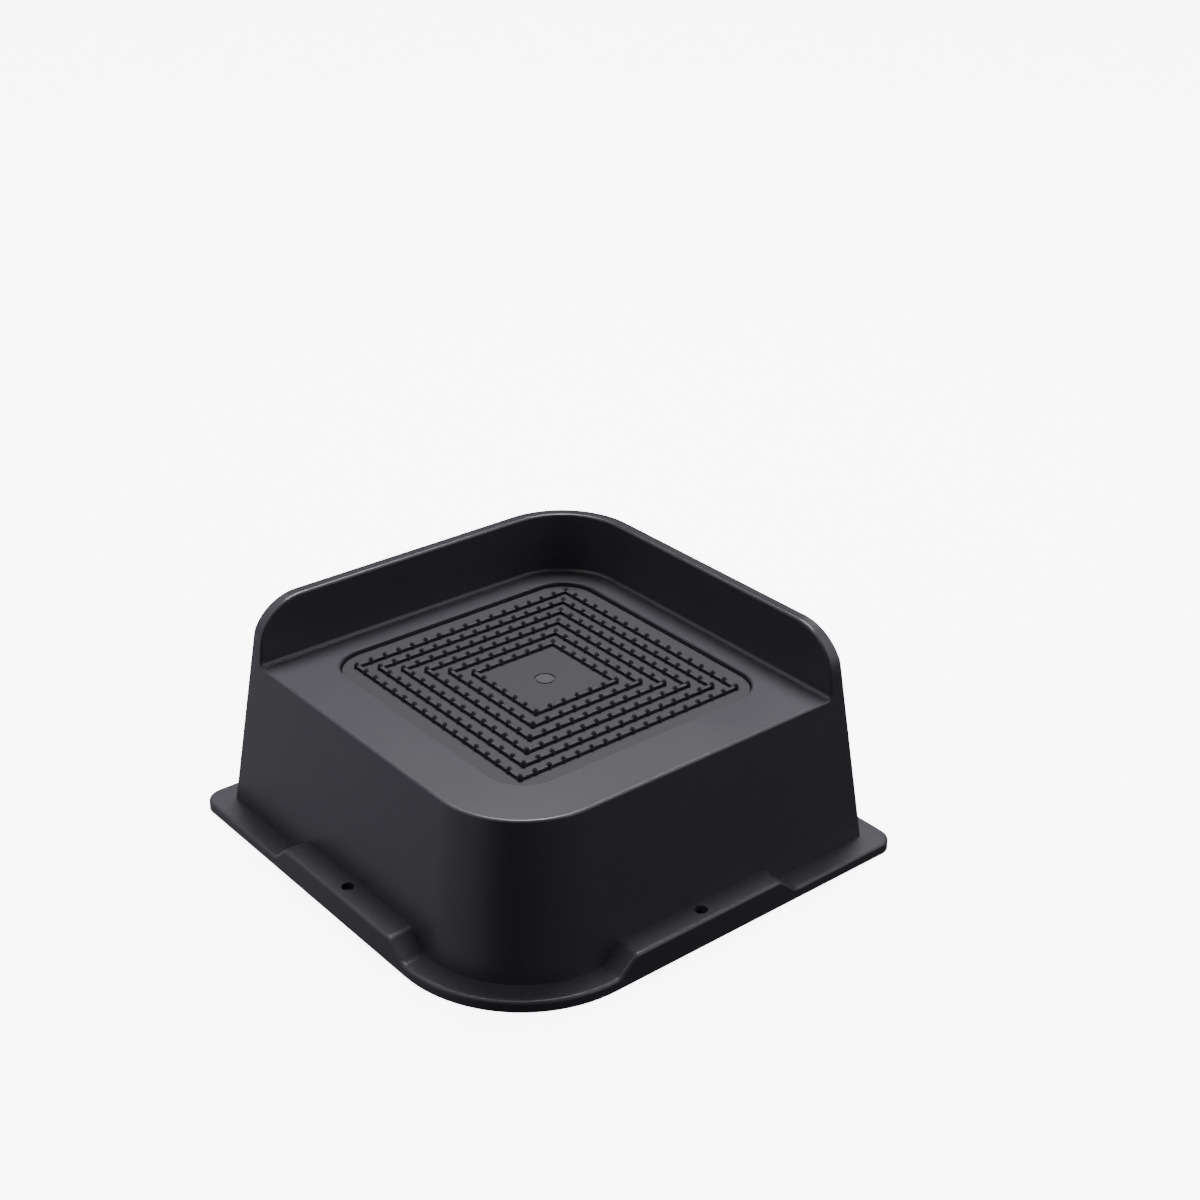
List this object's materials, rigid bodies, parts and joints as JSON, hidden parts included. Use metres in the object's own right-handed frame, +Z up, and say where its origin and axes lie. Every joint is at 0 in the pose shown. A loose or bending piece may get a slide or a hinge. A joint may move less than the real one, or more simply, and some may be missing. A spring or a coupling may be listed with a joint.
{
  "type": "bed riser",
  "caption": "Hollow moulded bed riser: a drafted block with an L-shaped lip, a ridged and nubbed grip pad let into its deck, and a foot flange with raised screw bridges.",
  "frame": {"origin": "on the floor, under the middle of the foot flange", "axes": "+Z up; the open sides face -X and -Y, and the lip stands on the +X and +Y sides"},
  "size_m": [0.2206, 0.2206, 0.1057],
  "materials": {
    "riser_plastic": "satin charcoal moulding",
    "pad_rubber": "matt charcoal rubber"
  },
  "bodies": {
    "root": {"riser_body": "riser_plastic", "grip_pad": "pad_rubber"}
  },
  "joints": []
}
